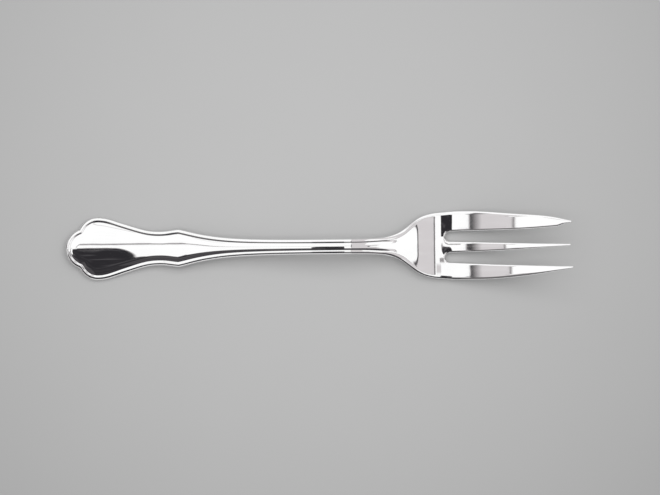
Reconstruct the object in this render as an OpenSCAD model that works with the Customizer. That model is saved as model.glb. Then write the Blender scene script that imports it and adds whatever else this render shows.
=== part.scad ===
// Three-tine pastry fork: one pressing of polished metal, drawn as its named regions.
// X runs from the handle end to the tine tips, +Y is the side of the wide cutting tine,
// and the face looks up. A size ending in _at is a distance along the fork from the handle end.
// The regions meet face to face on flat planes, so together they are the one real piece.

/* [Handle outline] */
// Radius of the round lobe at the handle end
lobe_radius = 6.1; // [5.6:0.1:6.6]
// Distance to the widest point of the shoulder lobes
shoulder_at = 9.5; // [9.1:0.1:10.1]
// Width across the shoulder lobes
shoulder_width = 18.7; // [17.7:0.1:19.7]
// Radius of the shoulder lobes
shoulder_radius = 6; // [5.7:0.05:6.3]
// Radius of the fillet in the notch between two lobes
notch_radius = 0.35; // [0.25:0.05:0.6]
// Distance to the middle of the straight flank
flank_at = 18.1; // [17.1:0.1:19.1]
// Width at the middle of the flank
flank_width = 14.4; // [13.6:0.1:15.2]
// Distance to the waist
waist_at = 28; // [27.2:0.1:28.6]
// Width of the waist
waist_width = 10.2; // [9.4:0.1:11]
// Radius of the waist's curve
waist_radius = 34; // [25:1:45]
// Distance to the soft corner of the knuckle
knuckle_at = 33.4; // [33:0.1:33.8]
// Width across the knuckle
knuckle_width = 11.1; // [10.6:0.1:11.6]
// Length of the rounded corner of the knuckle
knuckle_round = 1.6; // [1.2:0.1:2.4]

/* [Shank and head outline] */
// Distance to the fast taper behind the knuckle
taper_at = 45.7; // [44.2:0.1:47.2]
// Width in the fast taper
taper_width = 6.54; // [6:0.02:7.2]
// Distance to the slimmest part of the shank
slim_at = 78.5; // [74:0.5:80]
// Width of the slimmest part of the shank
slim_width = 4.56; // [4.2:0.02:5]
// Distance to the start of the neck's flare
neck_start_at = 90.6; // [89.6:0.1:91.4]
// Width at the start of the neck's flare
neck_start_width = 4.8; // [4.6:0.1:5]
// Distance to the neck's inner curve
neck_curve_at = 98.1; // [97.6:0.1:98.6]
// Width at the neck's inner curve
neck_curve_width = 6.96; // [6.6:0.02:7.4]
// Distance to the steepest part of the flare
flare_at = 102.2; // [101.8:0.1:102.6]
// Width at the steepest part of the flare
flare_width = 12.1; // [11.6:0.1:12.6]
// Distance to the head's rounded corner
corner_at = 106.8; // [106.4:0.1:107.2]
// Width at the head's rounded corner
corner_width = 17.9; // [17.5:0.1:18.3]
// Distance to the widest part of the head
head_at = 117.6; // [116.6:0.1:118.6]
// Width of the head
head_width = 20.4; // [19.8:0.1:21]

/* [Tines] */
// Distance to the rounded ends of the two slots
slot_at = 113.1; // [112.7:0.1:114.5]
// Width of each slot at its rounded end
slot_width = 2.9; // [2.4:0.1:3.3]
// Width of the middle tine at its root
middle_width = 3.4; // [3:0.1:3.8]
// Sideways shift of the middle tine, which makes room for the wide cutting tine
middle_shift = 0.46; // [0:0.02:0.8]
// Distance to the tip of the outer tine, the longest one
tips_at = 150; // [147:0.1:153]
// How far the tip of the cutting tine falls short of it
cutting_short = 0.4; // [0:0.1:1.5]
// How far the tip of the middle tine falls short of it
middle_short = 0.7; // [0:0.1:1.5]
// Sideways shift of the tip of the middle tine
middle_tip_shift = 0.12; // [0:0.02:0.4]
// Sideways distance from the middle to the tips of the two side tines
tip_spread = 6.7; // [6.2:0.05:7.2]
// Width of each tip
tip_width = 0.5; // [0.4:0.05:0.8]
// Length of the bevelled inner corner of the cutting tine
bevel_length = 4.6; // [3:0.1:6]
// Width of the softly rounded upper edges of the flare
flare_edge_width = 1.5; // [1.2:0.05:1.8]
// Width of the softly rounded outer edges of the head and tines
edge_width = 1.05; // [0.8:0.05:1.2]
// Width of the softly rounded edges beside the slots
slot_edge_width = 0.6; // [0.4:0.05:0.8]
// Height of the softly rounded upper edges of the head and tines
edge_drop = 0.45; // [0.35:0.05:0.55]

/* [Side profile] */
// Distance to the point where the handle rests
handle_rest_at = 13.8; // [13:0.1:15]
// Radius of the upward curl of the handle end
curl_radius = 71.5; // [65:0.5:110]
// Distance to the highest point of the arched shank
crest_at = 78.9; // [76:0.1:80]
// Height of the underside at the crest
crest_height = 6.15; // [5.6:0.05:6.8]
// Radius of the bend at the crest
crest_radius = 43.6; // [38:0.2:58]
// Distance to the straight slope of the neck
slope_at = 103; // [102.6:0.1:103.4]
// Height of the underside on the neck's slope
slope_height = 1.38; // [1.3:0.02:1.5]
// Distance to the point where the head rests
head_rest_at = 112.7; // [112.5:0.1:112.9]
// Radius of the bend at the head's rest
head_bend_radius = 12.7; // [12:0.1:14]
// Distance to the end of the bend, where the tines start to rise
rise_at = 118.5; // [118.1:0.1:118.9]
// Height of the underside where the tines start to rise
rise_height = 0.89; // [0.84:0.01:0.94]
// Height of the underside at the tine tips
tip_height = 11.3; // [10.3:0.1:12.3]

/* [Thickness and crown] */
// Thickness of the handle
handle_thickness = 2.1; // [1.9:0.05:2.6]
// Thickness of the shank at its crest
shank_thickness = 2.5; // [2.3:0.05:2.9]
// Thickness of the neck, where the taper to the tips begins
neck_thickness = 2.2; // [2:0.05:2.6]
// Thickness of the tine tips
tip_thickness = 0.9; // [0.7:0.05:1.2]
// Radius of the crowned face across the handle
handle_crown = 55; // [45:1:90]
// Radius of the crowned rib across the shank
shank_crown = 4.5; // [3.9:0.1:7]
// Radius of the dished head across its width
head_dish = 150; // [110:5:250]
// Radius of the crowned face across the narrow middle tine
middle_crown = 30; // [20:1:60]
// Radius of the softened lower edge
under_radius = 0.4; // [0.2:0.05:0.5]

/* [Raised border] */
// Distance from the outline to the top of the border's bead
bead_in = 0.85; // [0.7:0.05:0.95]
// Height of the rounded side of the bead
bead_side = 0.8; // [0.6:0.05:0.9]
// Rise of the bead above the groove on the handle
bead_rise = 0.18; // [0.1:0.01:0.24]
// Rise of the bead above the groove on the shank
shank_bead_rise = 0.13; // [0.08:0.01:0.16]
// Distance from the outline to the bottom of the groove on the handle
groove_in = 1.45; // [1.35:0.05:1.55]
// Distance from the outline to the bottom of the groove on the shank
shank_groove_in = 1.25; // [1.2:0.05:1.35]
// Depth of the groove below the face on the handle
groove_depth = 0.31; // [0.2:0.01:0.36]
// Depth of the groove below the face on the shank
shank_groove_depth = 0.16; // [0.1:0.01:0.22]
// Width of the slope from the groove up to the face
groove_ramp = 2.1; // [1.6:0.1:2.3]
// Distance to the place where the border starts to fade
fade_at = 92.6; // [91.6:0.1:93.6]
// Distance to the end of the border
fade_end_at = 100.2; // [99.2:0.1:101.2]

/* [Hidden] */

// Planes on which the regions meet
shank_from = 38.2;
neck_from = 88.5;
root_from = 98;
tines_from = 110.9;

// Angles of the outline to the fork's length
flank_angle = -17.5;
knuckle_in_angle = 6.5;
knuckle_out_angle = -12;
taper_angle = -7;
neck_start_angle = 2.5;
neck_curve_angle = 20;
flare_angle = 38.5;
corner_angle = 19;
head_angle = 4;

// Radii of the outline's softer bends, where a minus sign bends towards the middle
shoulder_lee_radius = 13;
knuckle_radius = 28;
taper_radius = 70;
neck_start_radius = 80;
neck_curve_radius = 11;
corner_radius = 10;

// Place and width where the head's corner runs out into its straight side
corner_end_at = 111.6;
corner_end_width = 19.7;

// Angles of the underside to the ground
slope_angle = -13.85;
rise_angle = 13.55;
tip_angle = 20.7;
rise_radius = 183;

// Depth of the small flats that polishing and use leave where the fork rests
rest_flat = 0.03;

// Distance to the place where the handle's crown begins to tighten
crown_at = 34;
// Distance to the place where the shank's tight crown is reached
rib_at = 66;
// Distance to the place where the thickness starts its straight taper
thin_from = 100.6;
// Distance to the place where the shank's thickness starts to grow
thick_from = 45.3;
// Distance to the flare's flat section, where the shank's crown is gone
level_at = 100;
// Distances to the start of the head's dish and to its full depth
dish_from = 97.6;
dish_at = 102.1;

// Outer edges of the side tines, halfway to the tips
tine_mid_at = 132.9;
cutting_mid_half = 9.3;
outer_mid_half = 9.58;
cutting_mid_angle = -4.5;
outer_mid_angle = -6;
cutting_tip_angle = -15;
outer_tip_angle = -11;

// Angles of the slot walls at their roots and at the tips
cutting_wall_angle = 1.5;
bevel_start_angle = 4.5;
bevel_angle = 21;
bevel_tip_angle = 14;
middle_upper_angle = 1.8;
middle_upper_tip_angle = 1.8;
middle_lower_angle = 1.3;
middle_lower_tip_angle = 4.4;
outer_wall_angle = -3;
outer_wall_tip_angle = -2;
// Distance of the cutting tine's inner edge from the middle where the bevel starts
bevel_half = 5.2;
// Shares of the bevel's length and of its way to the tip at which it runs straight
bevel_length_share = 0.42;
bevel_way_share = 0.42;

// Numbers of steps along and across the surfaces
lobe_steps = 10;
notch_steps = 3;
shoulder_steps = 6;
slot_steps = 5;
roll_steps = 4;
bead_steps = 3;
ramp_steps = 3;
// Shares of the way from the border to the middle line
face_shares = [0.34, 0.67, 1];
// Shares of a soft edge's width at which its rounding is drawn
edge_shares = [0, 0.05, 0.2, 0.5, 1];
// Share of a narrow tine's width that its rounded edge may take
edge_limit_share = 0.3;
// Share of the space beside the groove that the ramp may take on a narrow shank
ramp_limit_share = 0.6;
// Share of the lobe's radius where the innermost rib of the handle end starts
hub_share = 0.74;

fork_length = tips_at;
cutting_tip_at = tips_at - cutting_short;
middle_tip_at = tips_at - middle_short;
slot_radius = slot_width / 2;
upper_slot_y = middle_width / 2 - middle_shift + slot_radius;
lower_slot_y = -middle_width / 2 - middle_shift - slot_radius;
slot_centre_at = slot_at + slot_radius;

// A row is [distance, value, angle, radius of the bend]; a row without the last two is level
function row_slope(row) = is_undef(row[2]) ? 0 : tan(row[2]);
function row_bend(row) = is_undef(row[3]) ? 0 : 1 / row[3];

// Value at x of the one curve through two rows that keeps both slopes and both bends
function between(x, a, b) =
    let (span = b[0] - a[0], t = min(1, max(0, (x - a[0]) / span)))
    let (t3 = pow(t, 3), t4 = pow(t, 4), t5 = pow(t, 5))
    let (to_b = 10 * t3 - 15 * t4 + 6 * t5)
    a[1] * (1 - to_b) + b[1] * to_b
    + span * row_slope(a) * (t - 6 * t3 + 8 * t4 - 3 * t5)
    + span * row_slope(b) * (7 * t4 - 4 * t3 - 3 * t5)
    + span * span * row_bend(a) * (t * t - 3 * t3 + 3 * t4 - t5) / 2
    + span * span * row_bend(b) * (t3 - 2 * t4 + t5) / 2;

// Value at x of a smooth curve through all its rows
function smooth(x, rows, i = 0) =
    i < len(rows) - 2 && x > rows[i + 1][0] ? smooth(x, rows, i + 1)
    : between(x, rows[i], rows[i + 1]);

// Half the width of the fork, from the shoulders to the head
outline_rows = [
    [shoulder_at, shoulder_width / 2, 0, -shoulder_lee_radius],
    [flank_at, flank_width / 2, flank_angle],
    [waist_at, waist_width / 2, 0, waist_radius],
    [knuckle_at - knuckle_round / 2, knuckle_width / 2, knuckle_in_angle, -knuckle_radius],
    [knuckle_at + knuckle_round / 2, knuckle_width / 2, knuckle_out_angle, -knuckle_radius],
    [taper_at, taper_width / 2, taper_angle, taper_radius],
    [slim_at, slim_width / 2],
    [neck_start_at, neck_start_width / 2, neck_start_angle, neck_start_radius],
    [neck_curve_at, neck_curve_width / 2, neck_curve_angle, neck_curve_radius],
    [flare_at, flare_width / 2, flare_angle],
    [corner_at, corner_width / 2, corner_angle, -corner_radius],
    [corner_end_at, corner_end_width / 2, head_angle],
    [head_at, head_width / 2],
];

// Height of the underside along the middle line
spine_rows = [
    [0, handle_rest_at * handle_rest_at / curl_radius / 2 - rest_flat,
     -atan(handle_rest_at / curl_radius), curl_radius],
    [handle_rest_at, -rest_flat, 0, curl_radius],
    [crest_at, crest_height, 0, -crest_radius],
    [slope_at, slope_height, slope_angle],
    [head_rest_at, -rest_flat, 0, head_bend_radius],
    [rise_at, rise_height, rise_angle, rise_radius],
    [fork_length, tip_height, tip_angle],
];

thin_angle = -atan((neck_thickness - tip_thickness) / (fork_length - thin_from));
thickness_rows = [
    [thick_from, handle_thickness],
    [crest_at, shank_thickness],
    [thin_from, neck_thickness, thin_angle],
    [fork_length, tip_thickness, thin_angle],
];

// Bend across the face: how the crown tightens along the shank and is gone at the head
crown_rows = [
    [crown_at, 1 / handle_crown],
    [rib_at, 1 / shank_crown],
    [neck_from, 1 / shank_crown],
    [level_at, 0],
];
dish_rows = [[dish_from, 0], [dish_at, 1 / head_dish]];
// The middle tine's own crown begins with the tine and is full at its slots
middle_crown_rows = [[tines_from, 0], [slot_centre_at, 1 / middle_crown]];

// Sizes of the border, which ends as the softened edge of the head
fade_rows = [[fade_at, 1], [fade_end_at, 0]];
bead_in_rows = [
    [fade_at, bead_in],
    [fade_end_at, flare_edge_width],
    [tines_from, edge_width],
];
bead_side_rows = [[fade_at, bead_side], [fade_end_at, edge_drop]];
bead_rise_rows = [[crown_at, bead_rise], [rib_at, shank_bead_rise]];
groove_depth_rows = [[crown_at, groove_depth], [rib_at, shank_groove_depth]];
groove_in_rows = [
    [crown_at, groove_in],
    [rib_at, shank_groove_in],
    [fade_at, shank_groove_in],
    [fade_end_at, flare_edge_width + shank_groove_in - bead_in],
];

// Edges of the tines, each [rows, width of the rounding, middle of its slot, side of the slot]
cutting_outer = [concat(outline_rows, [
    [tine_mid_at, cutting_mid_half, cutting_mid_angle],
    [cutting_tip_at, tip_spread + tip_width / 2, cutting_tip_angle],
]), edge_width];
bevel_way = tip_spread - tip_width / 2 - bevel_half;
cutting_inner = [[
    [slot_centre_at, upper_slot_y + slot_radius, cutting_wall_angle],
    [cutting_tip_at - bevel_length, bevel_half, bevel_start_angle],
    [cutting_tip_at - bevel_length * (1 - bevel_length_share),
     bevel_half + bevel_way * bevel_way_share, bevel_angle],
    [cutting_tip_at, bevel_half + bevel_way, bevel_tip_angle],
], slot_edge_width, upper_slot_y, 1];
middle_upper = [[
    [slot_centre_at, upper_slot_y - slot_radius, -middle_upper_angle],
    [middle_tip_at, tip_width / 2 - middle_tip_shift, -middle_upper_tip_angle],
], slot_edge_width, upper_slot_y, -1];
middle_lower = [[
    [slot_centre_at, lower_slot_y + slot_radius, middle_lower_angle],
    [middle_tip_at, -tip_width / 2 - middle_tip_shift, middle_lower_tip_angle],
], slot_edge_width, lower_slot_y, 1];
outer_inner = [[
    [slot_centre_at, lower_slot_y - slot_radius, outer_wall_angle],
    [tips_at, tip_width / 2 - tip_spread, outer_wall_tip_angle],
], slot_edge_width, lower_slot_y, -1];
outer_outer = [concat([for (row = outline_rows) mirrored(row)], [
    [tine_mid_at, -outer_mid_half, -outer_mid_angle],
    [tips_at, -tip_spread - tip_width / 2, -outer_tip_angle],
]), edge_width];

function mirrored(row) =
    [row[0], -row[1], is_undef(row[2]) ? 0 : -row[2], is_undef(row[3]) ? undef : -row[3]];

// Heights of the underside and of the face at a point seen from above
function dish_lift(x, y) = smooth(x, dish_rows) * y * y / 2;
function under_z(x, y) = max(0, smooth(x, spine_rows) + dish_lift(x, y));
function face_z(x, y, y_limit) =
    let (crown_y = min(abs(y), y_limit))
    smooth(x, spine_rows) + smooth(x, thickness_rows) + dish_lift(x, y)
    - smooth(x, crown_rows) * crown_y * crown_y / 2;

// Steps from one value to another, without the first
function steps(from, to, count) = [for (i = [1:count]) from + (to - from) * i / count];

// A rib is [outline point, direction inwards, stretch, point on the middle line].
// It runs from the middle of the underside round the edge to the middle of the face.
function rib(p, inward, stretch, middle) =
    let (
        fade = smooth(p.x, fade_rows),
        bead = smooth(p.x, bead_in_rows),
        side = smooth(p.x, bead_side_rows),
        groove = max(bead, smooth(p.x, groove_in_rows)),
        depth = smooth(p.x, groove_depth_rows) * fade,
        rise = smooth(p.x, bead_rise_rows) * fade,
        room = norm([middle, 0] - p) / stretch - groove,
        ramp = min(groove_ramp, ramp_limit_share * room),
        at = function (d) p + inward * d * stretch,
        limit = at(groove).y,
        on_face = function (d, lift) let (q = at(d)) [q.x, q.y, face_z(q.x, q.y, limit) + lift],
        under = function (d, lift) let (q = at(d)) [q.x, q.y, under_z(q.x, q.y) + lift],
        inner = at(groove + ramp)
    )
    concat(
        [[middle, 0, under_z(middle, 0)]],
        [for (a = [0, 45, 90]) under(under_radius * (1 - sin(a)), under_radius * (1 - cos(a)))],
        [for (i = [0:roll_steps]) let (a = 90 * i / roll_steps)
            on_face(bead * (1 - cos(a)), rise - depth - side * (1 - sin(a)))],
        [for (t = steps(0, 1, bead_steps))
            on_face(bead + (groove - bead) * t, rise * (1 + cos(180 * t)) / 2 - depth)],
        [for (t = steps(0, 1, ramp_steps))
            on_face(groove + ramp * t, -depth * (1 - t) * (1 - t))],
        [for (s = face_shares) let (q = inner * (1 - s) + [middle, 0] * s)
            [q.x, q.y, face_z(q.x, q.y, limit)]]
    );

// A rib square to the fork's length, stretched so that the border keeps its width on a slope
function cross_rib(x) =
    let (
        half = smooth(x, outline_rows),
        slant = (smooth(x + notch_radius, outline_rows) - half) / notch_radius
    )
    rib([x, half], [0, -1], sqrt(1 + slant * slant), x);

// Both halves of a section, as one closed ring
function both_sides(half_ring) = concat(half_ring,
    [for (i = [len(half_ring) - 2:-1:1]) let (p = half_ring[i]) [p.x, -p.y, p.z]]);

// Meeting point of two circles, on the left of the line from a to b
function circles_meet(a, a_radius, b, b_radius) =
    let (
        reach = norm(b - a),
        along = (reach * reach + a_radius * a_radius - b_radius * b_radius) / reach / 2,
        aside = sqrt(a_radius * a_radius - along * along),
        way = (b - a) / reach
    )
    a + way * along + [-way.y, way.x] * aside;

// The lobed end of the handle: round lobe, filleted notch and shoulder lobe
lobe_centre = [lobe_radius, 0];
shoulder_centre = [shoulder_at, shoulder_width / 2 - shoulder_radius];
notch_centre = circles_meet(lobe_centre, lobe_radius + notch_radius,
    shoulder_centre, shoulder_radius + notch_radius);
function heading(from, to) = atan2(to.y - from.y, to.x - from.x);
function spoke(a) = [cos(a), sin(a)];
lobe_end = heading(lobe_centre, notch_centre);
notch_start = heading(notch_centre, lobe_centre);
notch_end = heading(notch_centre, shoulder_centre);
shoulder_start = heading(shoulder_centre, notch_centre);
lobed_outline = concat(
    [[[0, 0], [1, 0]]],
    [for (a = steps(180, lobe_end, lobe_steps)) [lobe_centre + lobe_radius * spoke(a), -spoke(a)]],
    [for (a = steps(notch_start, notch_end, notch_steps))
        [notch_centre + notch_radius * spoke(a), spoke(a)]],
    [for (a = steps(shoulder_start, 90, shoulder_steps))
        [shoulder_centre + shoulder_radius * spoke(a), -spoke(a)]]
);
hub_at = hub_share * lobe_radius;
lobed_rings = [for (i = [0:len(lobed_outline) - 1])
    let (p = lobed_outline[i][0], inward = lobed_outline[i][1])
    both_sides(rib(p, inward, 1,
        hub_at + (shoulder_at - hub_at) * i / (len(lobed_outline) - 1)))];

// End caps of a ring, as lists of its corners: two halves, or strips from edge to edge
function half_caps(count) = [
    [for (i = [0:count / 2]) i],
    [for (i = [count / 2:count]) i % count],
];
function strip_caps(count) =
    [for (i = [0:count / 2 - 2]) [i, i + 1, count - 2 - i, count - 1 - i]];

// Solid through a row of closed rings; with a pointed start the first ring is folded flat.
// The diagonals of the four-sided cells turn at each quarter of the ring, so both halves match.
module loft(rings, caps, pointed = false) {
    count = len(rings[0]);
    last = len(rings) - 1;
    corner = function (j, i)
        let (k = i % count)
        j == 0 && pointed && k > count / 2 ? count - k : j * count + k;
    sides = [for (j = [0:last - 1], i = [0:count - 1])
        let (
            near = corner(j, i),
            next = corner(j, i + 1),
            far = corner(j + 1, i),
            far_next = corner(j + 1, i + 1)
        )
        each floor(4 * i / count) % 2 == 0
            ? [[near, far, far_next], [near, far_next, next]]
            : [[near, far, next], [next, far, far_next]]];
    start = [if (!pointed) for (cap = caps) [for (i = cap) corner(0, i)]];
    end = [for (cap = caps) [for (k = [len(cap) - 1:-1:0]) corner(last, cap[k])]];
    polyhedron(points = [for (ring = rings) each ring], faces = concat(sides, start, end));
}

module cross_loft(rings, pointed = false) {
    loft(rings, half_caps(len(rings[0])), pointed);
}
function cross_rings(places) = [for (x = places) both_sides(cross_rib(x))];

// Places of the sections along the fork
handle_places = concat(
    steps(shoulder_at, flank_at, 7),
    steps(flank_at, waist_at, 7),
    steps(waist_at, knuckle_at - knuckle_round / 2, 4),
    steps(knuckle_at - knuckle_round / 2, knuckle_at + knuckle_round / 2, 4),
    steps(knuckle_at + knuckle_round / 2, shank_from, 3)
);
shank_places = concat([shank_from], steps(shank_from, crown_at + (rib_at - crown_at) / 2, 6),
    steps(crown_at + (rib_at - crown_at) / 2, neck_from, 12));
neck_places = concat([neck_from], steps(neck_from, root_from, 8));
root_places = concat([root_from], steps(root_from, tines_from, 12));

module handle() {
    color("silver")
        cross_loft(concat(lobed_rings, cross_rings(handle_places)), true);
}

module shank() {
    color("silver")
        cross_loft(cross_rings(shank_places));
}

module neck() {
    color("silver")
        cross_loft(cross_rings(neck_places));
}

module root() {
    color("silver")
        cross_loft(cross_rings(root_places));
}

// Place of a tine's edge at x: the slot's middle line, its round end, then its wall
function edge_y(x, edge) =
    let (rows = edge[0], slot_y = edge[2], side = edge[3], back = slot_centre_at - x)
    is_undef(slot_y) || back <= 0 ? smooth(x, rows)
    : back >= slot_radius ? slot_y
    : slot_y + side * sqrt(slot_radius * slot_radius - back * back);

// Distance from a point to the free edge, measured round the end of a slot
function edge_gap(x, y, edge) =
    is_undef(edge[2]) || x >= slot_centre_at ? abs(edge_y(x, edge) - y)
    : norm([x - slot_centre_at, y - edge[2]]) - slot_radius;

// How far a rounded edge of this height lies below the surface, at a share of its width
function round_drop(share, height) =
    let (out = 1 - min(1, max(0, share)))
    height * (1 - sqrt(1 - out * out));

// Closed ring of a tine at x, from its right edge under the tine and back over it.
// The crown, a bend like the ones of the rows above, makes the face a little convex.
function tine_ring(x, left, right, crown) =
    let (
        left_y = edge_y(x, left),
        right_y = edge_y(x, right),
        middle_y = (left_y + right_y) / 2,
        room = (left_y - right_y) * edge_limit_share,
        left_over = min(left[1], room),
        right_over = min(right[1], room),
        drop = min(edge_drop, room),
        under = min(under_radius, room),
        share = function (y, left_width, right_width)
            min(edge_gap(x, y, left) / left_width, edge_gap(x, y, right) / right_width),
        across = function (left_width, right_width) concat(
            [for (s = edge_shares) right_y + right_width * s],
            [middle_y],
            [for (i = [len(edge_shares) - 1:-1:0]) left_y - left_width * edge_shares[i]]
        ),
        below = across(under, under),
        above = across(left_over, right_over)
    )
    concat(
        [for (y = below) [x, y, under_z(x, y) + round_drop(share(y, under, under), under)]],
        [for (i = [len(above) - 1:-1:0]) let (y = above[i], aside = y - middle_y)
            [x, y, face_z(x, y, 0) - crown * aside * aside / 2
                - round_drop(share(y, left_over, right_over), drop)]]
    );

module tine(left, right, tip_at, crown_rows = [[0, 0], [tips_at, 0]]) {
    places = concat(
        [tines_from],
        steps(tines_from, slot_at - slot_edge_width, 2),
        [for (i = [len(edge_shares) - 2:-1:0]) slot_at - slot_edge_width * edge_shares[i]],
        [for (a = steps(0, 90, slot_steps)) slot_centre_at - slot_radius * cos(a)],
        steps(slot_centre_at, rise_at, 3),
        steps(rise_at, tip_at - bevel_length, 8),
        steps(tip_at - bevel_length, tip_at, 5)
    );
    rings = [for (x = places) tine_ring(x, left, right, smooth(x, crown_rows))];
    loft(rings, strip_caps(len(rings[0])));
}

module cutting_tine() {
    color("silver")
        tine(cutting_outer, cutting_inner, cutting_tip_at);
}

module middle_tine() {
    color("silver")
        tine(middle_upper, middle_lower, middle_tip_at, middle_crown_rows);
}

module outer_tine() {
    color("silver")
        tine(outer_inner, outer_outer, tips_at);
}

// Moves the fork from its drawing place to the middle of the object's frame
module placed() {
    translate([-fork_length / 2, 0, 0])
        children();
}

placed() handle();
placed() shank();
placed() neck();
placed() root();
placed() cutting_tine();
placed() middle_tine();
placed() outer_tine();
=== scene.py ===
import math
from collections import namedtuple

import bpy
import numpy as np
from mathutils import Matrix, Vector


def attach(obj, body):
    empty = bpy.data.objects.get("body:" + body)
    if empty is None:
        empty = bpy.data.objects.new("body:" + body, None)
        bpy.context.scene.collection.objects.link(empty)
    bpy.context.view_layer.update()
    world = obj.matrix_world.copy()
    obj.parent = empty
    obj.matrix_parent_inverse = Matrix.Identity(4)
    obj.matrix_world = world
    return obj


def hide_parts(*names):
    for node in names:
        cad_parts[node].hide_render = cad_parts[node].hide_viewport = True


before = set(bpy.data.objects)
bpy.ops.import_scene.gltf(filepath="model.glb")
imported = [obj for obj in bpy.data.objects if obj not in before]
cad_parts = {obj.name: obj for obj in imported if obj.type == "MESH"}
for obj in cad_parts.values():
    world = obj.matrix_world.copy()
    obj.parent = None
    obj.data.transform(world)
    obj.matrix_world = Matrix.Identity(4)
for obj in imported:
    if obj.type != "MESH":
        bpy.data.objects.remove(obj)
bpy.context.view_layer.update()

MM = 0.001

# The fork's sizes in millimetres, the same as in the part's source, beginning with its outline.
# A size ending in _AT is a distance along the fork from the handle end.
LOBE_RADIUS = 6.1
SHOULDER_AT = 9.5
SHOULDER_WIDTH = 18.7
SHOULDER_RADIUS = 6
SHOULDER_LEE_RADIUS = 13
NOTCH_RADIUS = 0.35
FLANK_AT = 18.1
FLANK_WIDTH = 14.4
FLANK_ANGLE = -17.5
WAIST_AT = 28
WAIST_WIDTH = 10.2
WAIST_RADIUS = 34
KNUCKLE_AT = 33.4
KNUCKLE_WIDTH = 11.1
KNUCKLE_ROUND = 1.6
KNUCKLE_IN_ANGLE = 6.5
KNUCKLE_OUT_ANGLE = -12
KNUCKLE_RADIUS = 28
TAPER_AT = 45.7
TAPER_WIDTH = 6.54
TAPER_ANGLE = -7
TAPER_RADIUS = 70
SLIM_AT = 78.5
SLIM_WIDTH = 4.56
NECK_START_AT = 90.6
NECK_START_WIDTH = 4.8
NECK_START_ANGLE = 2.5
NECK_START_RADIUS = 80
NECK_CURVE_AT = 98.1
NECK_CURVE_WIDTH = 6.96
NECK_CURVE_ANGLE = 20
NECK_CURVE_RADIUS = 11
FLARE_AT = 102.2
FLARE_WIDTH = 12.1
FLARE_ANGLE = 38.5
CORNER_AT = 106.8
CORNER_WIDTH = 17.9
CORNER_ANGLE = 19
CORNER_RADIUS = 10
CORNER_END_AT = 111.6
CORNER_END_WIDTH = 19.7
HEAD_ANGLE = 4
HEAD_AT = 117.6
HEAD_WIDTH = 20.4

# Slots and tines
SLOT_AT = 113.1
SLOT_WIDTH = 2.9
MIDDLE_WIDTH = 3.4
MIDDLE_SHIFT = 0.46
TIPS_AT = 150
CUTTING_SHORT = 0.4
MIDDLE_SHORT = 0.7
MIDDLE_TIP_SHIFT = 0.12
TIP_SPREAD = 6.7
TIP_WIDTH = 0.5
BEVEL_LENGTH = 4.6
BEVEL_HALF = 5.2
BEVEL_LENGTH_SHARE = 0.42
BEVEL_WAY_SHARE = 0.42
TINE_MID_AT = 132.9
CUTTING_MID_HALF = 9.3
OUTER_MID_HALF = 9.58
# Angles of the tines' edges to the fork's length, in degrees
CUTTING_MID_ANGLE = -4.5
CUTTING_TIP_ANGLE = -15
CUTTING_WALL_ANGLE = 1.5
BEVEL_START_ANGLE = 4.5
BEVEL_ANGLE = 21
BEVEL_TIP_ANGLE = 14
MIDDLE_UPPER_ANGLE = 1.8
MIDDLE_UPPER_TIP_ANGLE = 1.8
MIDDLE_LOWER_ANGLE = 1.3
MIDDLE_LOWER_TIP_ANGLE = 4.4
OUTER_WALL_ANGLE = -3
OUTER_WALL_TIP_ANGLE = -2
OUTER_MID_ANGLE = -6
OUTER_TIP_ANGLE = -11

# Sizes of the rounded edges on the flare and round the tines
FLARE_EDGE_WIDTH = 1.5
EDGE_WIDTH = 1.05
SLOT_EDGE_WIDTH = 0.6
EDGE_DROP = 0.45
EDGE_LIMIT_SHARE = 0.3
UNDER_RADIUS = 0.4

# Side profile, as heights and angles of the underside
HANDLE_REST_AT = 13.8
CURL_RADIUS = 71.5
CREST_AT = 78.9
CREST_HEIGHT = 6.15
CREST_RADIUS = 43.6
SLOPE_AT = 103
SLOPE_HEIGHT = 1.38
SLOPE_ANGLE = -13.85
HEAD_REST_AT = 112.7
HEAD_BEND_RADIUS = 12.7
RISE_AT = 118.5
RISE_HEIGHT = 0.89
RISE_ANGLE = 13.55
RISE_RADIUS = 183
TIP_HEIGHT = 11.3
TIP_ANGLE = 20.7
REST_FLAT = 0.03

# Thickness, the crown across the face and the dish of the head
HANDLE_THICKNESS = 2.1
SHANK_THICKNESS = 2.5
NECK_THICKNESS = 2.2
TIP_THICKNESS = 0.9
THICK_FROM = 45.3
THIN_FROM = 100.6
HANDLE_CROWN = 55
SHANK_CROWN = 4.5
CROWN_AT = 34
RIB_AT = 66
LEVEL_AT = 100
HEAD_DISH = 150
DISH_FROM = 97.6
DISH_AT = 102.1
MIDDLE_CROWN = 30

# The raised border: a bead along the edge with a groove inside it
BEAD_IN = 0.85
BEAD_SIDE = 0.8
BEAD_RISE = 0.18
SHANK_BEAD_RISE = 0.13
GROOVE_IN = 1.45
SHANK_GROOVE_IN = 1.25
GROOVE_DEPTH = 0.31
SHANK_GROOVE_DEPTH = 0.16
GROOVE_RAMP = 2.1
RAMP_LIMIT_SHARE = 0.6
HUB_SHARE = 0.74
FADE_AT = 92.6
FADE_END_AT = 100.2

# Planes on which the regions of the fork meet
SHANK_FROM = 38.2
NECK_FROM = 88.5
ROOT_FROM = 98
TINES_FROM = 110.9

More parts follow.
